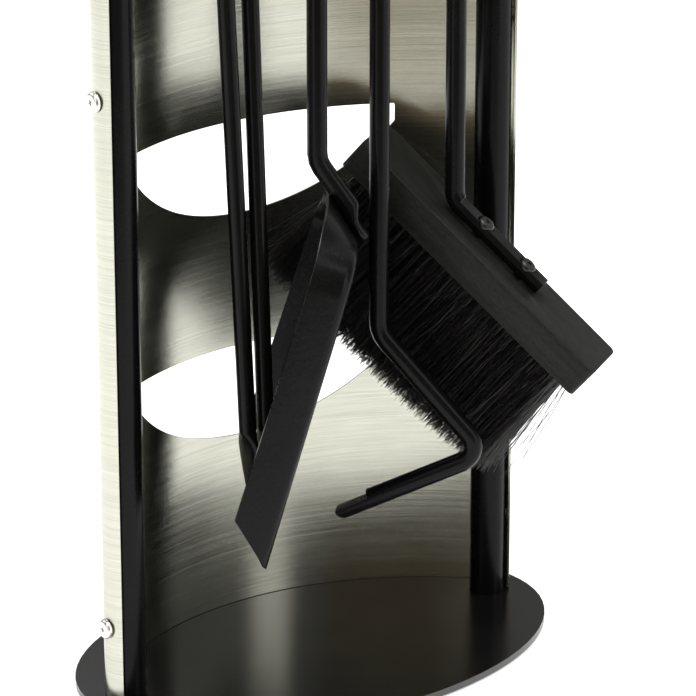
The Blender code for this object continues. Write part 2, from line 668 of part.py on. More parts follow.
def brush():
    frame = tool_frame("brush")
    handle("brush", frame, ROD_RADIUS)

    # The block's own frame: X along it, Y across, Z out of its top face.
    block_frame = bpy.data.objects.new("brush_block_frame", None)
    PARTS.objects.link(block_frame)
    centre = Vector((BLOCK_TOP_CENTRE[0], 0, BLOCK_TOP_CENTRE[1]))
    place(block_frame, frame, centre, (0, BLOCK_FALL, 0))

    along = Vector((math.cos(BLOCK_FALL), 0, -math.sin(BLOCK_FALL)))
    out = Vector((math.sin(BLOCK_FALL), 0, math.cos(BLOCK_FALL)))
    line = centre + out * BRUSH_ROD_RISE
    corner = line - along * (line.x / along.x)
    corners = [(0, 0, ROD_TOP), corner, line + along * BRUSH_ROD_END]
    shaft = part("brush_shaft", rod_mesh("brush_shaft", rounded_path(corners, [BRUSH_BEND]), ROD_RADIUS), SATIN_BLACK)
    place(shaft, frame)

    low, high = (BRUSH_FLAT_START, -8 * MM, BRUSH_FLAT_RISE), (BRUSH_ROD_END + 5 * MM, 8 * MM, 20 * MM)
    flat = place(cutter("brush_flat", box_mesh("brush_flat", low, high)), block_frame)
    cut(shaft, flat)

    def build_block(shape):
        size = Matrix.Diagonal((BLOCK_LENGTH, BLOCK_WIDE, BLOCK_THICK, 1))
        bmesh.ops.create_cube(shape, size=1, matrix=Matrix.Translation((0, 0, -BLOCK_THICK / 2)) @ size)
        upright = [e for e in shape.edges if abs(e.verts[0].co.z - e.verts[1].co.z) > BLOCK_THICK / 2]
        bmesh.ops.bevel(shape, geom=upright, offset=BLOCK_CORNER, segments=5, profile=0.5, affect="EDGES")

    block = place(part("brush_block", mesh_from("brush_block", build_block), PAINTED_WOOD), block_frame)

    rim, seat, head = BRUSH_SCREW_HEAD, BRUSH_SCREW_SEAT, BRUSH_SCREW_HIGH
    shank, reach = M4_RADIUS, -11 * MM
    profile = [(0, seat + head)]
    profile += arc((rim - 1.5 * MM, seat + head - 1.5 * MM), 1.5 * MM, 90, 0, 4)
    profile += [(rim, seat), (shank, seat), (shank, reach), (0, reach)]
    hole_profile = [(0, 20 * MM), (rim + GAP, 20 * MM), (rim + GAP, seat - GAP), (shank + GAP, seat - GAP)]
    hole_profile += [(shank + GAP, reach - GAP), (0, reach - GAP)]
    for number, where in enumerate(BRUSH_SCREW_ALONG, 1):
        screw = turned_part(f"brush_screw_{number}", profile, BLACK_ZINC, steps=24)
        place(screw, block_frame, (where, 0, 0))
        hole = place(turned_cutter(f"brush_hole_{number}", hole_profile, 20), block_frame, (where, 0, 0))
        cut(shaft, hole)
        cut(block, hole)
    bevel(block, 0.7 * MM)

    def build_bristles(shape):
        root, tip = -BLOCK_THICK - GAP, -BLOCK_THICK - BRISTLE_LONG
        half = BLOCK_LENGTH / 2 - BRISTLE_INSET
        middle = Matrix.Translation((0, 0, (root + tip) / 2))
        size = Matrix.Diagonal((2 * half, 2 * BRISTLE_HALF_WIDE, root - tip, 1))
        bmesh.ops.create_cube(shape, size=1, matrix=middle @ size)
        for vert in shape.verts:
            if vert.co.z < (root + tip) / 2:
                vert.co.x += math.copysign(BRISTLE_SPREAD, vert.co.x)

    bristles = part("brush_bristles", mesh_from("brush_bristles", build_bristles), BRISTLE)
    place(bristles, block_frame)


def jaw_rule(toward):
    """Squashes an arm's end into a leaf-shaped jaw that leans in towards the other one."""
    long = JAW_TOP - JAW_BOTTOM

    def rule(distance):
        share = ease(distance / (7 * MM))
        wide = JAW_WIDE / (2 * ARM_RADIUS) * (1 - 0.5 * distance / long)
        thin = JAW_THICK / (2 * ARM_RADIUS)
        lean = toward * JAW_CLOSE * (distance / long) ** 2
        return 1 + (thin - 1) * share, 1 + (wide - 1) * share, lean

    return rule


def tongs():
    frame = tool_frame("tongs")
    handle("tongs", frame, ARM_RADIUS)

    def arm_x(top, slope, height):
        return top[0] + slope * (top[1] - height)

    # The fixed arm runs on from the handle and leans out a little from there down.
    fixed_top = (0, FIXED_ARM_TOP)
    bottom = Vector((arm_x(fixed_top, ARM_SLOPE, JAW_BOTTOM), 0, JAW_BOTTOM))
    points = rounded_path([(0, 0, ROD_TOP), (0, 0, FIXED_ARM_TOP), bottom], [60 * MM])
    points = with_points_near_end(points, JAW_TOP - JAW_BOTTOM, 9)
    mesh = rod_mesh("tongs_shaft", points, ARM_RADIUS)
    way = bottom - Vector((0, 0, FIXED_ARM_TOP))
    start = bottom - way.normalized() * (JAW_TOP - JAW_BOTTOM)
    flatten_along(mesh, start, way, (0, 1, 0), jaw_rule(-1))
    place(part("tongs_shaft", mesh, SATIN_BLACK), frame)

    # The lug is a small plate beside the fixed arm, drilled for the pin.
    pin_x, pin_z = PIVOT
    low = (pin_x - 7 * MM, -LUG_THICK / 2, pin_z - LUG_HALF_HIGH)
    lug_top = pin_z + LUG_HALF_HIGH
    high = (arm_x(fixed_top, ARM_SLOPE, lug_top) - ARM_RADIUS - GAP, LUG_THICK / 2, lug_top)
    lug = place(part("tongs_lug", box_mesh("tongs_lug", low, high), SATIN_BLACK), frame)
    pivot_frame = bpy.data.objects.new("tongs_pivot_frame", None)
    PARTS.objects.link(pivot_frame)
    place(pivot_frame, frame, (pin_x, 0, pin_z))
    hole = cutter("tongs_pin_hole", disc_mesh("tongs_pin_hole", PIN_RADIUS + GAP, -12 * MM, 12 * MM, 24))
    place(hole, pivot_frame, rotation=(math.pi / 2, 0, 0))
    cut(lug, hole)
    bevel(lug, 0.5 * MM)

    # The swinging arm: a flattened eye in front of the lug, a jog back into line, then the run down.
    eye_y = -(LUG_THICK / 2 + GAP + ARM_FLAT_THICK / 2)
    bottom_x = arm_x(PIVOT, SWING_SLOPE, JAW_BOTTOM)
    bottom = Vector((bottom_x - pin_x, 0, JAW_BOTTOM - pin_z))
    way = bottom.normalized()
    jog_top = way * (ARM_JOG_TOP - pin_z) / way.z + Vector((0, eye_y, 0))
    jog_bottom = way * (ARM_JOG_BOTTOM - pin_z) / way.z
    top = Vector((0, eye_y, 6 * MM))
    points = rounded_path([top, jog_top, jog_bottom, bottom], [14 * MM, 14 * MM])
    points = [top, top.lerp(jog_top, 0.3), top.lerp(jog_top, 0.6)] + points[1:]
    points = with_points_near_end(points, JAW_TOP - JAW_BOTTOM, 9)
    mesh = rod_mesh("tongs_arm", points, ARM_RADIUS)
    flatten_along(mesh, bottom - way * (JAW_TOP - JAW_BOTTOM), way, (0, 1, 0), jaw_rule(1))

    eye_low = ARM_JOG_TOP - pin_z

    def eye_rule(distance):
        share = ease(distance / (8 * MM))
        thin = ARM_FLAT_THICK / (2 * ARM_RADIUS)
        return 1 + (thin - 1) * share, 1 + 0.45 * share, 0

    eye_start = Vector((jog_top.x, eye_y, eye_low))
    flatten_along(mesh, eye_start, top - eye_start, (1, 0, 0), eye_rule)
    arm = place(part("tongs_arm", mesh, SATIN_BLACK), pivot_frame)
    cut(arm, hole)

    front = eye_y - ARM_FLAT_THICK / 2 - GAP
    back = LUG_THICK / 2 + GAP
    rim, shank = PIN_HEAD_RADIUS, PIN_RADIUS
    profile = [(0, PIN_HEAD_HIGH - front), (rim - 0.5 * MM, PIN_HEAD_HIGH - front)]
    profile += [(rim, PIN_HEAD_HIGH - front - 0.5 * MM), (rim, -front), (shank, -front), (shank, -back)]
    profile += [(rim, -back), (rim, -back - PIN_HEAD_HIGH), (0, -back - PIN_HEAD_HIGH)]
    place(turned_part("tongs_pin", profile, ZINC, steps=24), pivot_frame, rotation=(math.pi / 2, 0, 0))


clear_scene()
PARTS = new_collection("fireplace_tool_set")
CUTTERS = new_collection("cutters")
SIDES = (("left", -1), ("right", 1))

POWDER_COAT = material("black_powder_coat", (0.012, 0.012, 0.013), 0.42, 0.0)
SATIN_BLACK = material("satin_black_steel", (0.011, 0.011, 0.012), 0.38, 0.0)
STAINLESS = material("brushed_stainless", (0.55, 0.54, 0.51), 0.3, 1.0)
ZINC = material("zinc_plated_steel", (0.62, 0.62, 0.6), 0.3, 1.0)
BLACK_ZINC = material("black_zinc_steel", (0.06, 0.06, 0.055), 0.35, 1.0)
PAINTED_WOOD = material("black_painted_wood", (0.016, 0.016, 0.016), 0.5, 0.0)
BRISTLE = material("black_bristle", (0.008, 0.008, 0.008), 0.6, 0.0)
PAD_RUBBER = material("black_rubber", (0.02, 0.02, 0.02), 0.8, 0.0)

SCREW_HOLES = screw_holes()
base_plate()
base_pad()
posts()
post_screws()
back_sheet()
sheet_screws()
holder_plate()
holder_screws()
poker()
shovel()
brush()
tongs()
bpy.context.view_layer.update()
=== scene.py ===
"""Looks of the fireplace tool set: stand, bowed steel sheet, tongs, shovel, poker and brush."""

import json
import logging
import math
import random
from dataclasses import dataclass, field
from enum import Enum

import bmesh
import bpy
from mathutils import Matrix, Vector

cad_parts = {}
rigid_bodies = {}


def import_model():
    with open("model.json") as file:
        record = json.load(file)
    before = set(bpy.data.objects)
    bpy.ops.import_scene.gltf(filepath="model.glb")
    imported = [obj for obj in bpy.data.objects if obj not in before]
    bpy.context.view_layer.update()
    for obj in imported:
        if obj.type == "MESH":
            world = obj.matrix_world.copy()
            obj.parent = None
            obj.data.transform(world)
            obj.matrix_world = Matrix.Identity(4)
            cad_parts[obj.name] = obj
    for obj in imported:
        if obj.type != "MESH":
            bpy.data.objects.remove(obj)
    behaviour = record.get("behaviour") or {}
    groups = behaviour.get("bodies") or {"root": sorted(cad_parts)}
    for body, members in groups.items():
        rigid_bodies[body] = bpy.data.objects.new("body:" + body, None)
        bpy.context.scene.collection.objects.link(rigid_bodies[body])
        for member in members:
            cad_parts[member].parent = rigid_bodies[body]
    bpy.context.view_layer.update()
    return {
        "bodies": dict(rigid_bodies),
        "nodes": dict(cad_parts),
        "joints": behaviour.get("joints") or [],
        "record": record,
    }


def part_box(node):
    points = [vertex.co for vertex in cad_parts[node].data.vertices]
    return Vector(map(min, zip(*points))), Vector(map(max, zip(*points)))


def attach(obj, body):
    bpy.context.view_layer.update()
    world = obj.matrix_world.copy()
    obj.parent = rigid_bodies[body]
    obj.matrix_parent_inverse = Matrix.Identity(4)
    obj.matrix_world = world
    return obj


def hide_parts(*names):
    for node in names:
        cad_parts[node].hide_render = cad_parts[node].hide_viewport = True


log = logging.getLogger("tool_set")

MM = 0.001
SIDES = (("left", -1.0), ("right", 1.0))

Triple = tuple[float, float, float]
Stops = list[tuple[float, Triple]]
Socket = bpy.types.NodeSocket


class Slot(Enum):
    """The record's finishes."""

    POWDER = "powder_coat"
    SATIN = "satin_black"
    STEEL = "stainless"
    ZINC = "zinc"
    BLACK_ZINC = "black_zinc"
    WOOD = "painted_wood"
    BRISTLE = "bristle"
    PAD = "pad"


class NodeGraph:
    """A short way to wire a material's or a world's nodes."""

    def __init__(self, tree: bpy.types.NodeTree) -> None:
        """Keeps the tree and empties it.

        Args:
            tree: The node tree to fill.
        """
        self.tree = tree
        tree.nodes.clear()

    def add(self, kind: str, **settings: object) -> bpy.types.Node:
        """Adds a node.

        Args:
            kind: The node's type name.
            **settings: Attributes to set on it.

        Returns:
            The new node.
        """
        node = self.tree.nodes.new(kind)
        for name, value in settings.items():
            setattr(node, name, value)
        return node

    def link(self, source: Socket, target: Socket) -> None:
        """Joins two sockets."""
        self.tree.links.new(source, target)

    def math(self, kind: str, first: object, second: object) -> Socket:
        """Adds a Math node.

        Args:
            kind: The operation.
            first: A socket or a number.
            second: A socket or a number.

        Returns:
            The result's socket.
        """
        node = self.add("ShaderNodeMath", operation=kind)
        for slot_in, value in zip(node.inputs, (first, second)):
            if isinstance(value, Socket):
                self.link(value, slot_in)
            else:
                slot_in.default_value = value
        return node.outputs[0]

    def place(self, scale: Triple, turn: Triple = (0, 0, 0)) -> Socket:
        """Object coordinates, turned and then scaled.

        Args:
            scale: Scale along each axis, per metre.
            turn: Euler turn in radians.

        Returns:
            The coordinates' socket.
        """
        coords = self.add("ShaderNodeTexCoord")
        spin = self.add("ShaderNodeMapping", vector_type="TEXTURE")
        spin.inputs["Rotation"].default_value = turn
        size = self.add("ShaderNodeMapping")
        size.inputs["Scale"].default_value = scale
        self.link(coords.outputs["Object"], spin.inputs["Vector"])
        self.link(spin.outputs[0], size.inputs["Vector"])
        return size.outputs[0]

    def noise(
        self, vector: Socket, scale: float, detail: float = 3.0, rough: float = 0.55
    ) -> Socket:
        """Adds a noise texture.

        Args:
            vector: Coordinates.
            scale: The noise's scale.
            detail: Octaves.
            rough: Their roughness.

        Returns:
            The factor's socket.
        """
        node = self.add("ShaderNodeTexNoise")
        node.inputs["Scale"].default_value = scale
        node.inputs["Detail"].default_value = detail
        node.inputs["Roughness"].default_value = rough
        self.link(vector, node.inputs["Vector"])
        return node.outputs["Fac"]

    def ramp(self, value: Socket, stops: Stops) -> Socket:
        """Adds a colour ramp.

        Args:
            value: What drives it.
            stops: Positions and colours.

        Returns:
            The colour's socket.
        """
        node = self.add("ShaderNodeValToRGB")
        elements = node.color_ramp.elements
        while len(elements) > 1:
            elements.remove(elements[-1])
        for index, (where, colour) in enumerate(stops):
            element = elements[0] if index == 0 else elements.new(where)
            element.position = where
            element.color = (*colour, 1.0)
        self.link(value, node.inputs["Fac"])
        return node.outputs["Color"]

    def spread(self, value: Socket, low: float, high: float) -> Socket:
        """Maps a 0 to 1 value onto low to high, held inside them.

        Args:
            value: The value's socket.
            low: Result at 0.3 of the value.
            high: Result at 0.7 of the value.

        Returns:
            The result's socket.
        """
        node = self.add("ShaderNodeMapRange")
        node.inputs["From Min"].default_value = 0.3
        node.inputs["From Max"].default_value = 0.7
        node.inputs["To Min"].default_value = low
        node.inputs["To Max"].default_value = high
        self.link(value, node.inputs["Value"])
        return node.outputs["Result"]

    def bump(
        self, height: Socket, strength: float, distance: float, below: Socket | None = None
    ) -> Socket:
        """Adds a bump.

        Args:
            height: The height's socket.
            strength: From 0 to 1.
            distance: Depth in metres.
            below: Another bump that this one lies on.

        Returns:
            The normal's socket.
        """
        node = self.add("ShaderNodeBump")
        node.inputs["Strength"].default_value = strength
        node.inputs["Distance"].default_value = distance
        self.link(height, node.inputs["Height"])
        if below is not None:
            self.link(below, node.inputs["Normal"])
        return node.outputs[0]


@dataclass(frozen=True)
class Finish:
    """A surface. Its make method is the recipe, and the fields are its numbers.

    Attributes:
        name: The material's name.
        slot: The record's slot it belongs to.
        colour: Base colour.
        roughness: Middle roughness.
        metallic: 0 or 1.
    """

    name: str
    slot: Slot
    colour: Triple
    roughness: float
    metallic: float = 0.0

    def start(self) -> tuple[bpy.types.Material, NodeGraph, bpy.types.Node]:
        """Makes the material with its shader and output.

        Returns:
            The material, its graph and its shader.
        """
        material = bpy.data.materials.new(self.name)
        material.use_nodes = True
        graph = NodeGraph(material.node_tree)
        shader = graph.add("ShaderNodeBsdfPrincipled")
        out = graph.add("ShaderNodeOutputMaterial")
        graph.link(shader.outputs[0], out.inputs["Surface"])
        shader.inputs["Base Color"].default_value = (*self.colour, 1.0)
        shader.inputs["Roughness"].default_value = self.roughness
        shader.inputs["Metallic"].default_value = self.metallic
        return material, graph, shader

    def vary_roughness(
        self, graph: NodeGraph, shader: bpy.types.Node, value: Socket, less: float, more: float
    ) -> None:
        """Lets the roughness follow a pattern.

        Args:
            graph: The material's graph.
            shader: Its shader.
            value: The pattern.
            less: How far it falls below the middle roughness.
            more: How far it rises above it.
        """
        varied = graph.spread(value, self.roughness - less, self.roughness + more)
        graph.link(varied, shader.inputs["Roughness"])

    def shades(self, darker: float, lighter: float) -> Stops:
        """Ramp stops from a darker to a lighter form of the colour.

        Args:
            darker: What the colour is multiplied by at the low end.
            lighter: What it is multiplied by at the high end.

        Returns:
            The two stops.
        """
        dark = tuple(c * darker for c in self.colour)
        light = tuple(c * lighter for c in self.colour)
        return [(0.3, dark), (0.7, light)]

    def make(self) -> bpy.types.Material:
        """Makes the plain material; each kind of finish adds its own texture."""
        return self.start()[0]


@dataclass(frozen=True)
class Coat(Finish):
    """Sprayed black coat with orange peel and a faint dusty variation.

    Attributes:
        peel: Size of the orange peel's cells, per metre.
        depth: Depth of the peel in metres.
        specular: Specular level.
    """

    peel: float = 900.0
    depth: float = 0.00006
    specular: float = 0.5

    def make(self) -> bpy.types.Material:
        """Makes the coat.

        Returns:
            The material.
        """
        material, graph, shader = self.start()
        where = graph.place((1, 1, 1))
        fine = graph.noise(where, self.peel, 2.0, 0.5)
        broad = graph.noise(where, 38.0, 4.0, 0.6)
        graph.link(graph.ramp(broad, self.shades(0.8, 1.25)), shader.inputs["Base Color"])
        speck = graph.noise(where, self.peel * 2.6, 1.0)
        mixed = graph.math("ADD", graph.math("MULTIPLY", broad, 0.6), graph.math("MULTIPLY", speck, 0.4))
        self.vary_roughness(graph, shader, mixed, 0.05, 0.06)
        graph.link(graph.bump(fine, 0.5, self.depth), shader.inputs["Normal"])
        shader.inputs["Specular IOR Level"].default_value = self.specular
        return material


@dataclass(frozen=True)
class Brushed(Finish):
    """Steel with a fine grain along the sheet and a few longer marks.

    Attributes:
        grain: Lines per metre across the grain.
        depth: Depth of the grain in metres.
        anisotropic: How far the shine is drawn out across the grain.
    """

    grain: float = 3000.0
    depth: float = 0.000035
    anisotropic: float = 0.0

    def make(self) -> bpy.types.Material:
        """Makes the brushed metal.

        Returns:
            The material.
        """
        material, graph, shader = self.start()
        fine = graph.noise(graph.place((9.0, 9.0, self.grain)), 1.0, 3.0, 0.7)
        long = graph.noise(graph.place((5.0, 5.0, self.grain * 0.45)), 1.0, 4.0, 0.7)
        marks = graph.noise(graph.place((26.0, 26.0, self.grain * 0.8)), 1.0, 2.0, 0.5)
        cloud = graph.noise(graph.place((1, 1, 1)), 14.0, 3.0)
        tone = graph.math("ADD", graph.math("MULTIPLY", long, 0.55), graph.math("MULTIPLY", marks, 0.45))
        graph.link(graph.ramp(tone, self.shades(0.76, 1.2)), shader.inputs["Base Color"])
        rough = graph.math("ADD", graph.math("MULTIPLY", long, 0.5), graph.math("MULTIPLY", cloud, 0.5))
        self.vary_roughness(graph, shader, rough, 0.05, 0.07)
        deep = graph.bump(long, 0.06, self.depth)
        graph.link(graph.bump(fine, 0.4, self.depth, deep), shader.inputs["Normal"])
        shader.inputs["Anisotropic"].default_value = self.anisotropic
        shader.inputs["Anisotropic Rotation"].default_value = 0.25
        around = graph.add("ShaderNodeTangent", direction_type="RADIAL", axis="Z")
        graph.link(around.outputs[0], shader.inputs["Tangent"])
        return material


@dataclass(frozen=True)
class Plated(Finish):
    """Bright or black plating with a fine tooth from the heading die."""

    def make(self) -> bpy.types.Material:
        """Makes the plating.

        Returns:
            The material.
        """
        material, graph, shader = self.start()
        where = graph.place((1, 1, 1))
        tooth = graph.noise(where, 2400.0, 2.0)
        cloud = graph.noise(where, 260.0, 3.0)
        graph.link(graph.ramp(cloud, self.shades(0.82, 1.1)), shader.inputs["Base Color"])
        self.vary_roughness(graph, shader, cloud, 0.06, 0.08)
        graph.link(graph.bump(tooth, 0.35, 0.00003), shader.inputs["Normal"])
        return material


@dataclass(frozen=True)
class PaintedWood(Finish):
    """Thin black paint over open-grained wood, with the grain along the block.

    Attributes:
        turn: Euler turn of the block, so that the grain follows it.
        specular: Specular level.
    """

    turn: Triple = (0.0, 0.0, 0.0)
    specular: float = 0.1

    def make(self) -> bpy.types.Material:
        """Makes the painted wood.

        Returns:
            The material.
        """
        material, graph, shader = self.start()
        pores = graph.noise(graph.place((90, 1500, 1500), self.turn), 1.0, 2.0, 0.6)
        streaks = graph.noise(graph.place((16, 420, 420), self.turn), 1.0, 5.0, 0.7)
        speck = graph.noise(graph.place((320, 1300, 1300), self.turn), 1.0, 1.0)
        tone = graph.math("ADD", graph.math("MULTIPLY", streaks, 0.6), graph.math("MULTIPLY", speck, 0.4))
        graph.link(graph.ramp(tone, self.shades(0.6, 2.1)), shader.inputs["Base Color"])
        self.vary_roughness(graph, shader, streaks, 0.07, 0.1)
        low = graph.bump(streaks, 0.45, 0.0002)
        graph.link(graph.bump(pores, 0.6, 0.00012, low), shader.inputs["Normal"])
        shader.inputs["Specular IOR Level"].default_value = self.specular
        return material


@dataclass(frozen=True)
class Hair(Finish):
    """Stiff black bristle, with the odd brown one.

    Attributes:
        specular: Specular level.
    """

    specular: float = 0.4

    def make(self) -> bpy.types.Material:
        """Makes the bristle.

        Returns:
            The material.
        """
        material, graph, shader = self.start()
        tint = graph.noise(graph.place((1, 1, 1)), 700.0, 1.0)
        lighter = tuple(c * 1.8 for c in self.colour)
        stops = [(0.35, self.colour), (0.6, lighter), (0.72, (0.045, 0.028, 0.02))]
        graph.link(graph.ramp(tint, stops), shader.inputs["Base Color"])
        self.vary_roughness(graph, shader, tint, 0.08, 0.1)
        shader.inputs["Specular IOR Level"].default_value = self.specular
        return material


class Finishes:
    """Every finish of the set, made once."""

    def __init__(self, block_turn: Triple) -> None:
        """Makes the materials.

        Args:
            block_turn: Euler turn of the brush's block.
        """
        deep_black = (0.0025, 0.0025, 0.0028)
        self.base = Coat(
            "fine_textured_black",
            Slot.POWDER,
            (0.0028, 0.0028, 0.003),
            0.21,
            peel=1500.0,
            depth=0.00005,
            specular=0.95,
        ).make()
        self.post = Coat(
            "post_black", Slot.POWDER, deep_black, 0.25, peel=700.0, depth=0.00003, specular=0.13
        ).make()
        self.rod = Coat(
            "rod_black", Slot.SATIN, deep_black, 0.24, peel=620.0, depth=0.00005, specular=0.13
        ).make()
        self.pan = Coat(
            "pan_black",
            Slot.SATIN,
            (0.0035, 0.0035, 0.0038),
            0.27,
            peel=330.0,
            depth=0.0002,
            specular=0.13,
        ).make()
        self.pad = Coat(
            "pad_foam", Slot.PAD, (0.02, 0.02, 0.02), 0.8, peel=2200.0, depth=0.0001, specular=0.2
        ).make()
        self.sheet = Brushed(
            "brushed_sheet", Slot.STEEL, (0.53, 0.535, 0.455), 0.17, 1.0, anisotropic=0.85
        ).make()
        self.edge = Brushed("sheet_edge", Slot.STEEL, (0.62, 0.58, 0.5), 0.35, 1.0, grain=900.0).make()
        self.grip = Brushed("grip_steel", Slot.STEEL, (0.42, 0.42, 0.4), 0.28, 1.0, grain=1800.0).make()
        self.zinc = Plated("bright_zinc", Slot.ZINC, (0.8, 0.8, 0.77), 0.33, 1.0).make()
        self.black_zinc = Plated(
            "black_zinc", Slot.BLACK_ZINC, (0.05, 0.05, 0.048), 0.3, 1.0
        ).make()
        self.wood = PaintedWood(
            "painted_block", Slot.WOOD, (0.0115, 0.0122, 0.011), 0.4, turn=block_turn
        ).make()
        self.hair = Hair("bristle", Slot.BRISTLE, (0.003, 0.003, 0.0034), 0.34).make()


@dataclass
class Maker:
    """Turns a bmesh into a finished piece that rides on a body.

    Attributes:
    """

    frame: dict

    def keep(
        self,
        shape: bmesh.types.BMesh,
        name: str,
        body: str,
        material: bpy.types.Material,
        slot: Slot,
        nodes: tuple[str, ...] = (),
        sharp: float = 35.0,
    ) -> bpy.types.Object:
        """Makes the piece.

        Args:
            shape: The mesh, in place. It is freed here.
            name: The piece's name.
            body: The body it rides on.
            material: Its finish.
            slot: The record's slot; not used.
            nodes: CAD nodes it stands for.
            sharp: Edges over this angle, in degrees, stay sharp.

        Returns:
            The piece.
        """
        mesh = bpy.data.meshes.new(name)
        shape.to_mesh(mesh)
        shape.free()
        mesh.materials.append(material)
        mesh.shade_smooth()
        mesh.set_sharp_from_angle(angle=math.radians(sharp))
        piece = bpy.data.objects.new(name, mesh)
        bpy.context.scene.collection.objects.link(piece)
        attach(piece, body)
        if nodes:
            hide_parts(*nodes)
        log.info("%s: %d faces on %s", name, len(mesh.polygons), body)
        return piece

    def copy_of(self, node: str) -> bmesh.types.BMesh:
        """A merged copy of a CAD node's mesh.

        Args:
            node: The node's name.

        Returns:
            The copy, with its doubles merged and flat faces joined.
        """
        shape = bmesh.new()
        shape.from_mesh(self.frame["nodes"][node].data)
        bmesh.ops.remove_doubles(shape, verts=shape.verts, dist=0.00002)
        bmesh.ops.dissolve_limit(shape, angle_limit=0.003, verts=shape.verts, edges=shape.edges)
        return shape

    def refine(
        self,
        node: str,
        body: str,
        material: bpy.types.Material,
        slot: Slot,
        edge: float = 0.0,
        limit: float = 50.0,
        segments: int = 3,
    ) -> bpy.types.Object:
        """A smooth-shaded copy of a node, with its hard edges rounded.

        Args:
            node: The CAD node.
            body: The body it rides on.
            material: Its finish.
            slot: The record's slot.
            edge: Radius of the rounding in metres, or 0.
            limit: Edges over this angle, in degrees, are rounded.
            segments: Steps across a rounded edge.

        Returns:
            The piece.
        """
        shape = self.copy_of(node)
        piece = self.keep(shape, node + "_finish", body, material, slot, (node,), 30.0)
        if edge:
            step = piece.modifiers.new("soft_edge", "BEVEL")
            step.width = edge
            step.segments = segments
            step.limit_method = "ANGLE"
            step.angle_limit = math.radians(limit)
            step.harden_normals = True
        return piece


def capped_cylinder(radius: float, low: float, high: float, sides: int = 48) -> bmesh.types.BMesh:
    """A closed cylinder about Z.

    Args:
        radius: Its radius.
        low: Height of its lower end.
        high: Height of its upper end.
        sides: Sides round it.

    Returns:
        The mesh.
    """
    shape = bmesh.new()
    middle = Matrix.Translation((0, 0, (low + high) / 2))
    bmesh.ops.create_cone(
        shape,
        cap_ends=True,
        segments=sides,
        radius1=radius,
        radius2=radius,
        depth=high - low,
        matrix=middle,
    )
    return shape


def spun(profile: list[tuple[float, float]], steps: int = 48) -> bmesh.types.BMesh:
    """A turned shape about Z.

    Args:
        profile: (radius, height) points, ending on the axis at both ends.
        steps: Steps round it.

    Returns:
        The mesh, facing out.
    """
    shape = bmesh.new()
    points = [shape.verts.new((radius, 0, height)) for radius, height in profile]
    edges = [shape.edges.new(pair) for pair in zip(points, points[1:])]
    bmesh.ops.spin(
        shape,
        geom=points + edges,
        cent=(0, 0, 0),
        axis=(0, 0, 1),
        angle=math.tau,
        steps=steps,
        use_merge=True,
    )
    bmesh.ops.remove_doubles(shape, verts=shape.verts, dist=0.000005)
    bmesh.ops.recalc_face_normals(shape, faces=shape.faces)
    return shape


def cut_by(shape: bmesh.types.BMesh, *tools: bmesh.types.BMesh) -> bmesh.types.BMesh:
    """Cuts closed shapes out of another. All of them are freed.

    Args:
        shape: What is cut.
        *tools: What cuts it.

    Returns:
        The cut mesh.
    """
    helpers = []
    for number, source in enumerate((shape, *tools)):
        mesh = bpy.data.meshes.new(f"cut_{number}")
        source.to_mesh(mesh)
        source.free()
        helper = bpy.data.objects.new(f"cut_{number}", mesh)
        bpy.context.scene.collection.objects.link(helper)
        helpers.append(helper)
    for helper in helpers[1:]:
        step = helpers[0].modifiers.new("cut", "BOOLEAN")
        step.operation, step.solver, step.object = "DIFFERENCE", "EXACT", helper
    bpy.context.view_layer.update()
    graph = bpy.context.evaluated_depsgraph_get()
    result = bmesh.new()
    result.from_object(helpers[0], graph)
    for helper in helpers:
        mesh = helper.data
        bpy.data.objects.remove(helper)
        bpy.data.meshes.remove(mesh)
    bmesh.ops.remove_doubles(result, verts=result.verts, dist=0.000005)
    return result


@dataclass
class CrossScrew:
    """A pan-head screw with a cross recess.

    Attributes:
        head: Head radius.
        high: Head height.
        shank: Shank radius.
        length: Shank length.
        wing: Half the length of a recess's wing.
        slot: Half the width of a wing.
        deep: Depth of the recess.
        taper: How narrow a wing ends, as a share of its width at the top.
        reach: Height of the tool that cuts the recess.
    """

    head: float
    high: float
    shank: float
    length: float
    wing: float = 1.8 * MM
    slot: float = 0.4 * MM
    deep: float = 1.5 * MM
    taper: float = 0.45
    reach: float = 3 * MM

    def build(self, turn: float = 0.0) -> bmesh.types.BMesh:
        """Makes the screw with its seat at the origin and its head along +Z.

        Args:
            turn: Turn of the recess in radians.

        Returns:
            The mesh.
        """
        rim = self.high * 0.72
        profile = [(0.0, self.high)]
        for step in range(9):
            angle = math.pi / 2 * (1 - step / 8)
            out, up = rim * math.cos(angle), rim * math.sin(angle)
            profile.append((self.head - rim + out, self.high - rim + up))
        profile += [(self.head, 0.0), (self.shank, 0.0), (self.shank, -self.length), (0.0, -self.length)]
        wings = []
        for across in (0.0, math.pi / 2):
            wing = bmesh.new()
            bmesh.ops.create_cube(wing, size=1.0)
            for vert in wing.verts:
                share = 1.0 if vert.co.z > 0 else self.taper
                vert.co.x *= 2 * self.wing * share
                vert.co.y *= 2 * self.slot
            lift = Matrix.Translation((0, 0, self.high - self.deep + 0.5 * self.reach))
            tall = Matrix.Diagonal((1, 1, self.reach, 1))
            spin = Matrix.Rotation(turn + across, 4, "Z")
            bmesh.ops.transform(wing, verts=wing.verts, matrix=spin @ lift @ tall)
            wings.append(wing)
        return cut_by(spun(profile, 48), *wings)


@dataclass
class Group:
    """Pieces that belong together.

    Attributes:
        maker: Makes the pieces.
        finishes: The materials.
    """

    maker: Maker
    finishes: Finishes


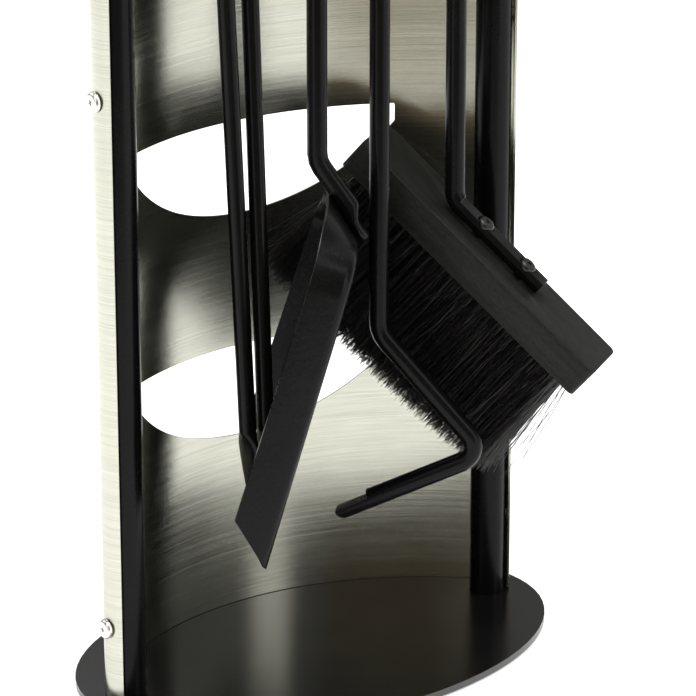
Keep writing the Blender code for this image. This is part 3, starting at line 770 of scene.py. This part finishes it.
@dataclass
class Stand(Group):
    """The foot, the posts, the slotted plate on top and the bowed sheet.

    Attributes:
        thick: Thickness of the sheet.
        columns: Length of a flat step round the bow.
        window_half: Half the width of a window along the bow.
        window_radius: Radius of a window's lower edge.
        window_corner: Radius of a window's upper corners.
        window_deep: Height of a window in its middle.
        window_low: Lowest point of the first window.
        window_pitch: From one window to the next.
        windows: How many windows there are.
        foot_corner: Radius of the sheet's two bottom corners.
        bow: Radius of the bow, at the middle of the sheet.
        wrap_end: How far round a post a wrap goes, from the back.
        screw_hole: Radius of a sheet screw's hole.
        screw_head: Height of a sheet screw's head.
        screw_turn: Each side's turn of its sheet screws round its post, from the back.
        post_x: The right post's axis in X.
        post_y: The posts' axes in Y.
        wrap: Radius of a wrap, at the middle of the sheet.
        centre_y: The bow's axis in Y.
        bow_end: Angle at which the bow meets a wrap.
    """

    thick: float = 1 * MM
    columns: float = 1.6 * MM
    window_half: float = 78 * MM
    window_radius: float = 101 * MM
    window_corner: float = 0.9 * MM
    window_deep: float = 45.5 * MM
    window_low: float = 91.5 * MM
    window_pitch: float = 111.5 * MM
    windows: int = 4
    foot_corner: float = 2.5 * MM
    bow: float = 149 * MM
    wrap_end: float = math.radians(135)
    screw_hole: float = 2.4 * MM
    screw_head: float = 2.3 * MM
    screw_turn: dict[str, float] = field(
        default_factory=lambda: {"left": -math.radians(90), "right": math.radians(63)}
    )
    post_x: float = field(init=False)
    post_y: float = field(init=False)
    wrap: float = field(init=False)
    centre_y: float = field(init=False)
    bow_end: float = field(init=False)

    def __post_init__(self) -> None:
        """Takes the posts' places from the frame."""
        low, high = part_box("post_right")
        self.post_x, self.post_y = (low.x + high.x) / 2, (low.y + high.y) / 2
        sheet_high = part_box("back_sheet")[1]
        self.wrap = sheet_high.x - self.post_x - self.thick / 2
        self.centre_y = self.post_y - math.sqrt((self.bow - self.wrap) ** 2 - self.post_x**2)
        self.bow_end = math.atan2(self.post_x, self.post_y - self.centre_y)

    def bend(self, along: float, proud: float) -> tuple[float, float]:
        """Where a point of the flat sheet goes when the sheet is bent.

        Args:
            along: Distance from the middle, along the sheet.
            proud: Distance out of the middle surface, towards the back.

        Returns:
            Its X and Y.
        """
        sign, run = math.copysign(1.0, along), abs(along)
        straight = self.bow * self.bow_end
        if run <= straight:
            angle = run / self.bow
            radius = self.bow + proud
            return sign * radius * math.sin(angle), self.centre_y + radius * math.cos(angle)
        angle = self.bow_end + (run - straight) / self.wrap
        radius = self.wrap + proud
        return sign * (self.post_x + radius * math.sin(angle)), self.post_y + radius * math.cos(angle)

    def window(self, low: float) -> bmesh.types.BMesh:
        """A block with a window's outline, standing across the flat sheet.

        Args:
            low: Height of the window's lowest point.

        Returns:
            The block.
        """
        shape = bmesh.new()
        top, half, corner = low + self.window_deep, self.window_half, self.window_corner
        outline = []
        for step in range(49):
            along = -half + 2 * half * step / 48
            sag = math.sqrt(self.window_radius**2 - along**2)
            outline.append((along, low + self.window_radius - sag))
        for middle, first in ((half - corner, 0.0), (corner - half, math.pi / 2)):
            for step in range(7):
                angle = first + math.pi / 2 * step / 6
                x, z = corner * math.cos(angle), corner * math.sin(angle)
                outline.append((middle + x, top - corner + z))
        face = shape.faces.new([shape.verts.new((x, -3 * MM, z)) for x, z in outline])
        grown = bmesh.ops.extrude_face_region(shape, geom=[face])
        moved = [item for item in grown["geom"] if isinstance(item, bmesh.types.BMVert)]
        bmesh.ops.translate(shape, verts=moved, vec=(0, 6 * MM, 0))
        bmesh.ops.recalc_face_normals(shape, faces=shape.faces)
        return shape

    def sheet(self) -> None:
        """The sheet: cut flat, then divided into narrow columns and bent."""
        low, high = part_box("back_sheet")
        end = self.bow * self.bow_end + self.wrap * (self.wrap_end - self.bow_end)
        flat = bmesh.new()
        size = Matrix.Diagonal((2 * end, self.thick, high.z - low.z, 1))
        bmesh.ops.create_cube(flat, size=1, matrix=Matrix.Translation((0, 0, (low.z + high.z) / 2)) @ size)
        foot = [
            edge
            for edge in flat.edges
            if all(v.co.z < low.z + MM for v in edge.verts)
            and abs(edge.verts[0].co.x - edge.verts[1].co.x) < MM
        ]
        bmesh.ops.bevel(
            flat,
            geom=foot,
            offset=self.foot_corner,
            segments=6,
            profile=0.5,
            material=-1,
            affect="EDGES",
        )
        holes = []
        for height in self.screw_heights():
            for side, sign in SIDES:
                round_wrap = self.wrap * (abs(self.screw_turn[side]) - self.bow_end)
                hole_at = sign * (self.bow * self.bow_end + round_wrap)
                hole = capped_cylinder(self.screw_hole, -3 * MM, 3 * MM, 24)
                lay = Matrix.Rotation(math.pi / 2, 4, "X")
                where = Matrix.Translation((hole_at, 0, height))
                bmesh.ops.transform(hole, verts=hole.verts, matrix=where @ lay)
                holes.append(hole)
        lows = [self.window_low + self.window_pitch * row for row in range(self.windows)]
        shape = cut_by(flat, *(self.window(low_end) for low_end in lows), *holes)
        cut = -end + self.columns
        while cut < end - self.columns / 2:
            geometry = list(shape.verts) + list(shape.edges) + list(shape.faces)
            plane = {"plane_co": (cut, 0, 0), "plane_no": (1, 0, 0)}
            bmesh.ops.bisect_plane(shape, geom=geometry, dist=1e-7, **plane)
            in_wrap = abs(cut) > self.bow * self.bow_end - self.columns
            cut += self.columns / 2 if in_wrap else self.columns
        for vert in shape.verts:
            x, y = self.bend(vert.co.x, vert.co.y)
            vert.co.x, vert.co.y = x, y
        bmesh.ops.recalc_face_normals(shape, faces=shape.faces)
        piece = self.maker.keep(
            shape, "bowed_sheet", "stand", self.finishes.sheet, Slot.STEEL, ("back_sheet",), 40.0
        )
        piece.data.materials.append(self.finishes.edge)
        for face in piece.data.polygons:
            if face.area < self.thick * 2.5 * MM and self.is_rim(face):
                face.material_index = 1

    def is_rim(self, face: bpy.types.MeshPolygon) -> bool:
        """Whether a face is part of a cut edge.

        Args:
            face: A face of the bent sheet.

        Returns:
            Whether it faces along the sheet and not out of it.
        """
        middle = face.center
        posts = [(sign * self.post_x, self.post_y) for _, sign in SIDES]
        for centre_x, centre_y in ((0.0, self.centre_y), *posts):
            way = Vector((middle.x - centre_x, middle.y - centre_y, 0)).normalized()
            if abs(way.dot(face.normal)) > 0.9:
                return False
        return True

    def screw_heights(self) -> list[float]:
        """Heights of the sheet's screws, from the frame."""
        heights = []
        for number in (1, 2, 3):
            low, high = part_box(f"sheet_screw_right_{number}")
            heights.append((low.z + high.z) / 2)
        return heights

    def sheet_screws(self) -> None:
        """Bright cross-head screws through the wraps."""
        seat = self.wrap + self.thick / 2 + 0.3 * MM
        for side, sign in SIDES:
            angle = self.screw_turn[side]
            x = sign * self.post_x + seat * math.sin(angle)
            y = self.post_y + seat * math.cos(angle)
            lay = Matrix.Rotation(math.pi / 2 - angle, 4, "Z") @ Matrix.Rotation(math.pi / 2, 4, "Y")
            for number, height in enumerate(self.screw_heights(), 1):
                node = f"sheet_screw_{side}_{number}"
                low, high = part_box(node)
                screw = CrossScrew((high.z - low.z) / 2, self.screw_head, 2 * MM, 8 * MM)
                shape = screw.build(0.35 + number * 0.9)
                where = Matrix.Translation((x, y, height))
                bmesh.ops.transform(shape, verts=shape.verts, matrix=where @ lay)
                name = f"cross_screw_{side}_{number}"
                self.maker.keep(shape, name, "stand", self.finishes.zinc, Slot.ZINC, (node,))

    def build(self) -> None:
        """Makes the stand's pieces."""
        maker, finishes = self.maker, self.finishes
        maker.refine("base_plate", "stand", finishes.base, Slot.POWDER)
        maker.refine("base_pad", "stand", finishes.pad, Slot.PAD)
        maker.refine("holder_plate", "stand", finishes.base, Slot.POWDER)
        for side, _ in SIDES:
            maker.refine("post_" + side, "stand", finishes.post, Slot.POWDER)
            maker.refine("post_screw_" + side, "stand", finishes.zinc, Slot.ZINC)
            maker.refine("holder_screw_" + side, "stand", finishes.zinc, Slot.ZINC)
        self.sheet()
        self.sheet_screws()


class Handles(Group):
    """Collar, grip and cap of each tool."""

    def build(self) -> None:
        """Makes the handles' pieces."""
        for tool in ("tongs", "shovel", "poker", "brush"):
            self.maker.refine(tool + "_collar", tool, self.finishes.post, Slot.POWDER)
            self.maker.refine(tool + "_grip", tool, self.finishes.grip, Slot.STEEL)
            self.maker.refine(tool + "_cap", tool, self.finishes.post, Slot.POWDER)


class Tongs(Group):
    """The pinned pair of arms."""

    def build(self) -> None:
        """Makes the tongs' pieces."""
        self.maker.refine("tongs_shaft", "tongs", self.finishes.rod, Slot.SATIN)
        self.maker.refine("tongs_lug", "tongs", self.finishes.rod, Slot.SATIN)
        self.maker.refine("tongs_pin", "tongs", self.finishes.zinc, Slot.ZINC)
        self.maker.refine("tongs_arm", "tongs_swing_arm", self.finishes.rod, Slot.SATIN)


class Shovel(Group):
    """The pressed pan and its rod."""

    def build(self) -> None:
        """Makes the shovel's pieces."""
        self.maker.refine("shovel_shaft", "shovel", self.finishes.rod, Slot.SATIN)
        self.maker.refine("shovel_pan", "shovel", self.finishes.pan, Slot.SATIN, 0.3 * MM, 60.0, 2)


class Poker(Group):
    """The bent poker rod."""

    def build(self) -> None:
        """Makes the poker's rod."""
        self.maker.refine("poker_shaft", "poker", self.finishes.rod, Slot.SATIN, 0.25 * MM, 38.0, 2)


@dataclass(frozen=True)
class BlockPlace:
    """How the brush's block hangs.

    Attributes:
        yaw: Turn of the tool about its rod.
        fall: Angle that the block falls at.
        top: Middle of the block's top face in the tool's own plane.
    """

    yaw: float = math.radians(-57.0)
    fall: float = math.radians(40.83)
    top: tuple[float, float] = (17.25 * MM, 199.8 * MM)

    def matrix(self) -> Matrix:
        """From the block's own frame (along, across, out of its top) to the row's."""
        low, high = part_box("brush_cap")
        row = Matrix.Translation(((low.x + high.x) / 2, (low.y + high.y) / 2, 0))
        centre = Matrix.Translation((self.top[0], 0, self.top[1]))
        return row @ Matrix.Rotation(self.yaw, 4, "Z") @ centre @ Matrix.Rotation(self.fall, 4, "Y")

    def turn(self) -> Triple:
        """Euler turn of the block's frame."""
        return tuple(self.matrix().to_euler())


@dataclass(frozen=True)
class Strand:
    """What the bristles are like.

    Attributes:
        long: Length.
        shorter: How much of it is missing at the block's outer end, as a share.
        uneven: Spread of the length, as a share.
        radius: Least and greatest radius, in millimetres.
        tuft: Radius of a tuft.
        splay: Outward lean of the outermost ones, along and across the block.
        lean: Spread of the lean, along and across.
        bow: Spread of the bow, along and across.
        rings: Shares of the length and of the radius at each ring.
    """

    long: float = 69 * MM
    shorter: float = 0.06
    uneven: float = 0.03
    radius: tuple[float, float] = (0.13, 0.23)
    tuft: float = 2.0 * MM
    splay: tuple[float, float] = (2.2 * MM, 2.4 * MM)
    lean: tuple[float, float] = (2.6 * MM, 1.3 * MM)
    bow: tuple[float, float] = (1.3 * MM, 0.9 * MM)
    rings: tuple[tuple[float, float], ...] = ((0.0, 1.0), (0.35, 0.95), (0.7, 0.9), (1.0, 0.55))


@dataclass
class Brush(Group):
    """The brush: its rod, block, screws and bristles.

    Attributes:
        place: How the block hangs.
        length: Length of the block.
        thick: Thickness of the block.
        gap: Room under the block before the bristles start.
        inset: From the block's end to the bristles.
        half_wide: Half the bristled width.
        strand: What the bristles are like.
        rows: Rows of tufts across the block.
        row_share: Place of the outer rows, as a share of half the bristled width.
        row_room: From the bristled length's end to a row's first tuft.
        stagger: Shift of every other row, in tufts.
        pitch: From one tuft to the next along a row.
        hairs: Bristles in a tuft.
        loose: Bristles that stray from their tufts.
        wild: Bristles that stray far, at the block's outer end.
        stray_share: Place of the outermost stray ones, as a share of half the bristled width.
        core_share: Length of the bristles' dense heart, as a share of theirs.
        core_inset: From the block's end to the heart.
        core_half_wide: Half the heart's width.
        core_rough: How far its points stray, along, across and down.
        screws_at: Places of the two screws along the block.
        screw_seat: Height of the screws' seats above the block's top.
    """

    place: BlockPlace
    length: float = 150 * MM
    thick: float = 16 * MM
    gap: float = 0.3 * MM
    inset: float = 7 * MM
    half_wide: float = 12 * MM
    strand: Strand = Strand()
    rows: int = 6
    row_share: float = 0.78
    row_room: float = 2.5 * MM
    stagger: float = 0.4
    pitch: float = 4.6 * MM
    hairs: int = 46
    loose: int = 420
    wild: int = 5
    stray_share: float = 0.8
    core_share: float = 0.85
    core_inset: float = 10 * MM
    core_half_wide: float = 8.5 * MM
    core_rough: Triple = (1.2 * MM, 0.8 * MM, 3 * MM)
    screws_at: tuple[float, float] = (-8.6 * MM, 18.5 * MM)
    screw_seat: float = 6.4 * MM

    @property
    def half(self) -> float:
        """Half the bristled length."""
        return self.length / 2 - self.inset

    def tufts(self) -> None:
        """Stiff bristles in rows of tufts, splayed a little and cut uneven."""
        chance = random.Random(7)
        shape = bmesh.new()
        half, stray_wide = self.half, self.half_wide * self.stray_share
        count = int(2 * half / self.pitch)
        last_row, last_tuft = self.half_wide * self.row_share, half - self.row_room
        for row in range(self.rows):
            across = -last_row + 2 * last_row * row / (self.rows - 1)
            shift = self.stagger * (row % 2)
            for tuft in range(count + 1):
                along = -last_tuft + 2 * last_tuft * (tuft + shift) / (count + self.stagger)
                for _ in range(self.hairs):
                    self.hair(shape, chance, along, across)
        for _ in range(self.loose):
            along = chance.uniform(-half, half)
            self.hair(shape, chance, along, chance.uniform(-1, 1) * stray_wide, 2.2)
        for _ in range(self.wild):
            across = chance.uniform(-1, 1) * stray_wide
            self.hair(shape, chance, half - chance.uniform(0, 3) * MM, across, 3.2)
        bmesh.ops.transform(shape, verts=shape.verts, matrix=self.place.matrix())
        self.maker.keep(
            shape, "bristle_strands", "brush", self.finishes.hair, Slot.BRISTLE, sharp=80.0
        )

    def hair(
        self,
        shape: bmesh.types.BMesh,
        chance: random.Random,
        along: float,
        across: float,
        stray: float = 1.0,
    ) -> None:
        """Adds one bristle: a thin three-sided spike with a bend in it.

        Args:
            shape: The mesh it is added to.
            chance: Seeded random numbers.
            along: The tuft's place along the block.
            across: The tuft's place across the block.
            stray: How far it may stray, where 1 is a bristle that keeps to its tuft.
        """
        like = self.strand
        spread, angle = like.tuft * math.sqrt(chance.random()), chance.uniform(0, math.tau)
        x, y = along + spread * math.cos(angle), across + spread * math.sin(angle)
        lean_x = like.splay[0] * x / self.half + chance.gauss(0, like.lean[0]) * stray
        lean_y = like.splay[1] * y / self.half_wide + chance.gauss(0, like.lean[1]) * stray
        even = 1.0 - like.shorter * max(0.0, x / self.half)
        long = like.long * even * (1 - abs(chance.gauss(0, like.uneven)) * min(stray, 2.0))
        bow_x, bow_y = (chance.gauss(0, bow) * stray for bow in like.bow)
        radius = chance.uniform(*like.radius) * MM
        root = -self.thick - self.gap
        rings = []
        for step, thin in like.rings:
            bow, lean = math.sin(math.pi * step), step**1.4
            centre = Vector(
                (x + lean_x * lean + bow_x * bow, y + lean_y * lean + bow_y * bow, root - long * step)
            )
            ring = [
                shape.verts.new(centre + Vector((math.cos(turn), math.sin(turn), 0)) * radius * thin)
                for turn in (0.3, 0.3 + math.tau / 3, 0.3 + 2 * math.tau / 3)
            ]
            rings.append(ring)
        shape.faces.new(rings[0])
        for upper, lower in zip(rings, rings[1:]):
            for a in range(3):
                b = (a + 1) % 3
                shape.faces.new((upper[b], upper[a], lower[a], lower[b]))
        shape.faces.new(reversed(rings[-1]))

    def core(self) -> None:
        """The dense dark heart of the bristles, narrower and shorter than the strands."""
        shape = bmesh.new()
        long = self.strand.long * self.core_share
        size = Matrix.Diagonal((self.length - 2 * self.core_inset, 2 * self.core_half_wide, long, 1))
        middle = Matrix.Translation((0, 0, -self.thick - self.gap - long / 2))
        bmesh.ops.create_cube(shape, size=1, matrix=middle @ size)
        bmesh.ops.subdivide_edges(shape, edges=shape.edges, cuts=9, use_grid_fill=True)
        chance = random.Random(3)
        for vert in shape.verts:
            depth = (-self.thick - vert.co.z) / long
            vert.co.x += chance.uniform(-1, 1) * self.core_rough[0] * depth
            vert.co.y += chance.uniform(-1, 1) * self.core_rough[1] * depth
            vert.co.z += chance.uniform(-1, 1) * self.core_rough[2] * max(0.0, depth - 0.3)
        bmesh.ops.transform(shape, verts=shape.verts, matrix=self.place.matrix())
        self.maker.keep(
            shape,
            "bristle_core",
            "brush",
            self.finishes.hair,
            Slot.BRISTLE,
            ("brush_bristles",),
            80.0,
        )

    def screws(self) -> None:
        """Two black cross-head screws through the rod into the block."""
        for number, along in enumerate(self.screws_at, 1):
            shape = CrossScrew(4.4 * MM, 2.4 * MM, 2 * MM, 16 * MM).build(0.5 + number)
            where = self.place.matrix() @ Matrix.Translation((along, 0, self.screw_seat))
            bmesh.ops.transform(shape, verts=shape.verts, matrix=where)
            name = f"black_cross_screw_{number}"
            node = f"brush_screw_{number}"
            finish = self.finishes.black_zinc
            self.maker.keep(shape, name, "brush", finish, Slot.BLACK_ZINC, (node,))

    def build(self) -> None:
        """Makes the brush's pieces."""
        rod = self.finishes.rod
        self.maker.refine("brush_shaft", "brush", rod, Slot.SATIN, 0.25 * MM, 38.0, 2)
        self.maker.refine("brush_block", "brush", self.finishes.wood, Slot.WOOD)
        self.core()
        self.tufts()
        self.screws()


@dataclass
class Studio:
    """Camera, floor, lights and surroundings.

    Attributes:
        eye: Place of the camera.
        azimuth: Its direction round the set, in degrees.
        elevation: Its height above the level, in degrees.
        lens: Focal length in millimetres on a 36 mm sensor.
        glow: Light that the floor gives off by itself, as a lit table does.
        floor_half: Half the floor's side.
        floor_white: Lightness of the floor.
        card_away: From the middle of the set to the brown card.
        card_turn: Turn of the card from the camera's direction, in degrees.
        card_half: Half its width and half its height.
        card_colour: Its colour.
        ring: Lightness of the surroundings by direction in degrees.
    """

    eye: Triple = (-0.9771, -1.3949, 0.7732)
    azimuth: float = -35.551
    elevation: float = 20.04
    lens: float = 201.9
    glow: float = 0.5
    floor_half: float = 12.0
    floor_white: float = 0.93
    card_away: float = 0.74
    card_turn: float = 4.0
    card_half: tuple[float, float] = (0.55, 0.8)
    card_colour: Triple = (0.2, 0.16, 0.105)
    ring: tuple[tuple[float, float], ...] = (
        (-180, 0.2),
        (-120, 0.25),
        (-92, 0.3),
        (-82, 1.5),
        (-68, 1.5),
        (-58, 0.25),
        (-30, 0.16),
        (14, 0.3),
        (18, 3.0),
        (28, 3.0),
        (33, 0.45),
        (62, 0.35),
        (72, 0.9),
        (95, 0.9),
        (110, 0.3),
        (150, 0.2),
        (180, 0.2),
    )

    def camera(self) -> None:
        """Makes the camera."""
        data = bpy.data.cameras.new("camera")
        data.lens, data.sensor_width = self.lens, 36.0
        data.clip_start, data.clip_end = 0.05, 100.0
        camera = bpy.data.objects.new("camera", data)
        bpy.context.scene.collection.objects.link(camera)
        a, e = math.radians(self.azimuth), math.radians(self.elevation)
        back = Vector((math.sin(a) * math.cos(e), -math.cos(a) * math.cos(e), math.sin(e)))
        camera.rotation_mode = "QUATERNION"
        camera.rotation_quaternion = (-back).to_track_quat("-Z", "Y")
        camera.location = self.eye
        bpy.context.scene.camera = camera

    def floor(self) -> None:
        """A wide pale floor."""
        shape = bmesh.new()
        bmesh.ops.create_grid(shape, x_segments=1, y_segments=1, size=self.floor_half)
        mesh = bpy.data.meshes.new("floor")
        shape.to_mesh(mesh)
        shape.free()
        floor = bpy.data.objects.new("floor", mesh)
        bpy.context.scene.collection.objects.link(floor)
        material = bpy.data.materials.new("pale_floor")
        material.use_nodes = True
        graph = NodeGraph(material.node_tree)
        shader = graph.add("ShaderNodeBsdfPrincipled")
        out = graph.add("ShaderNodeOutputMaterial")
        graph.link(shader.outputs[0], out.inputs["Surface"])
        shader.inputs["Base Color"].default_value = (*[self.floor_white] * 3, 1)
        shader.inputs["Roughness"].default_value = 0.9
        shader.inputs["Specular IOR Level"].default_value = 0.0
        shader.inputs["Emission Color"].default_value = (1, 1, 1, 1)
        shader.inputs["Emission Strength"].default_value = self.glow
        mesh.materials.append(material)

    def dark_card(self) -> None:
        """A brown card in front of the set, seen only in its shine."""
        shape = bmesh.new()
        way = math.radians(self.azimuth + self.card_turn)
        wide, high = self.card_half
        out = Vector((math.sin(way), -math.cos(way), 0)) * self.card_away
        where = Matrix.Translation(out + Vector((0, 0, high)))
        turn = Matrix.Rotation(way, 4, "Z") @ Matrix.Rotation(math.pi / 2, 4, "X")
        place = where @ turn @ Matrix.Diagonal((wide, high, 1.0, 1.0))
        bmesh.ops.create_grid(shape, x_segments=1, y_segments=1, size=1.0, matrix=place)
        mesh = bpy.data.meshes.new("dark_card")
        shape.to_mesh(mesh)
        shape.free()
        card = bpy.data.objects.new("dark_card", mesh)
        bpy.context.scene.collection.objects.link(card)
        mesh.materials.append(Finish("brown_card", Slot.PAD, self.card_colour, 0.9).make())
        card.visible_camera = card.visible_diffuse = card.visible_shadow = False

    def surroundings(self) -> None:
        """A studio seen in the metal: soft bright panels with darker gaps between them."""
        world = bpy.data.worlds.new("studio")
        bpy.context.scene.world = world
        world.use_nodes = True
        graph = NodeGraph(world.node_tree)
        coords = graph.add("ShaderNodeTexCoord")
        parts = graph.add("ShaderNodeSeparateXYZ")
        graph.link(coords.outputs["Generated"], parts.inputs[0])
        front = graph.math("MULTIPLY", parts.outputs["Y"], -1.0)
        turn = graph.math("ARCTAN2", parts.outputs["X"], front)
        share = graph.math("ADD", graph.math("DIVIDE", turn, math.tau), 0.5)
        stops = [
            ((angle + 180) / 360, (value, value * 0.99, value * 0.97)) for angle, value in self.ring
        ]
        ring = graph.ramp(share, stops)
        shader = graph.add("ShaderNodeBackground")
        shader.inputs["Strength"].default_value = 1.0
        graph.link(ring, shader.inputs["Color"])
        out = graph.add("ShaderNodeOutputWorld")
        graph.link(shader.outputs[0], out.inputs["Surface"])

    def light(self, name: str, where: Triple, size: float, power: float) -> None:
        """Adds a soft square light that faces the middle of the set.

        Args:
            name: Its name.
            where: Its place.
            size: Its side.
            power: Its power in watts.
        """
        data = bpy.data.lights.new(name, "AREA")
        data.size, data.energy = size, power
        lamp = bpy.data.objects.new(name, data)
        bpy.context.scene.collection.objects.link(lamp)
        lamp.location = where
        lamp.rotation_mode = "QUATERNION"
        lamp.rotation_quaternion = (Vector((0, 0, 0.2)) - Vector(where)).to_track_quat("-Z", "Y")

    def build(self) -> None:
        """Makes the studio, with colours shown as they are."""
        bpy.context.scene.view_settings.view_transform = "Standard"
        self.camera()
        self.floor()
        self.dark_card()
        self.surroundings()
        self.light("key_light", (-2.2, -1.4, 2.4), 1.4, 26.0)
        self.light("back_light", (0.6, 2.4, 2.2), 1.8, 5.0)
        self.light("side_light", (-0.8, 1.2, 1.3), 1.0, 8.5)
        self.light("top_light", (0.3, -0.4, 2.8), 1.6, 46.0)


def main() -> None:
    """Builds the set in order."""
    logging.basicConfig(level=logging.INFO, format="%(message)s")
    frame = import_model()
    maker = Maker(frame)
    place = BlockPlace()
    finishes = Finishes(place.turn())
    Studio().build()
    Stand(maker, finishes).build()
    Handles(maker, finishes).build()
    Tongs(maker, finishes).build()
    Shovel(maker, finishes).build()
    Poker(maker, finishes).build()
    Brush(maker, finishes, place).build()
    bpy.context.view_layer.update()


if __name__ == "__main__":
    main()
